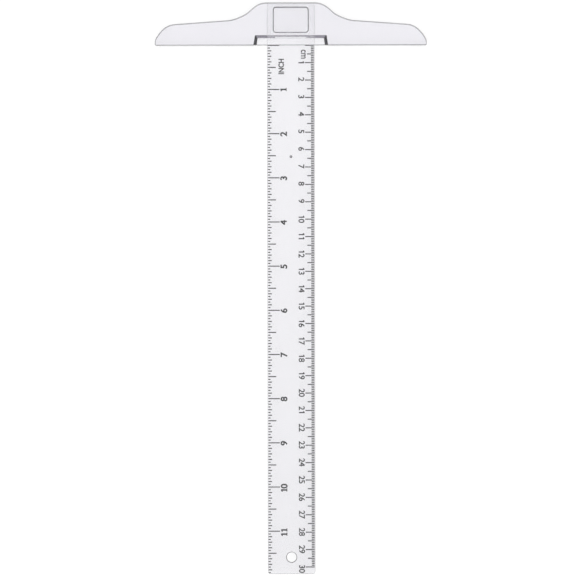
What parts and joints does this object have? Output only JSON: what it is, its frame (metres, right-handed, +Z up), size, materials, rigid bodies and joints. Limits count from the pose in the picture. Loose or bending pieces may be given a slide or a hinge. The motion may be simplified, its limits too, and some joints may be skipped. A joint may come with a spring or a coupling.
{
  "type": "t square",
  "caption": "Clear plastic T square: a winged head with a slot right through it, and a flat ruler blade with inch and centimetre scales that slides out of it.",
  "frame": {"origin": "on the blade's centreline at the head's working edge, which is the zero of both scales, in the plane of the head's underside", "axes": "+X along the head, +Y from the working edge to the head's back edge, so that the blade runs along -Y to its free end, +Z up out of the printed face"},
  "size_m": [0.1562, 0.3285, 0.0055],
  "materials": {
    "clear_plastic": "polished",
    "ink": "printed"
  },
  "bodies": {
    "head": {"head": "clear_plastic"},
    "blade": {"blade": "clear_plastic", "inch_scale": "ink", "centimetre_scale": "ink"}
  },
  "joints": [
    {"name": "blade_slide", "type": "slide", "parent": "head", "child": "blade", "axis": [0, -1, 0], "range_m": [0, 0.03]}
  ]
}
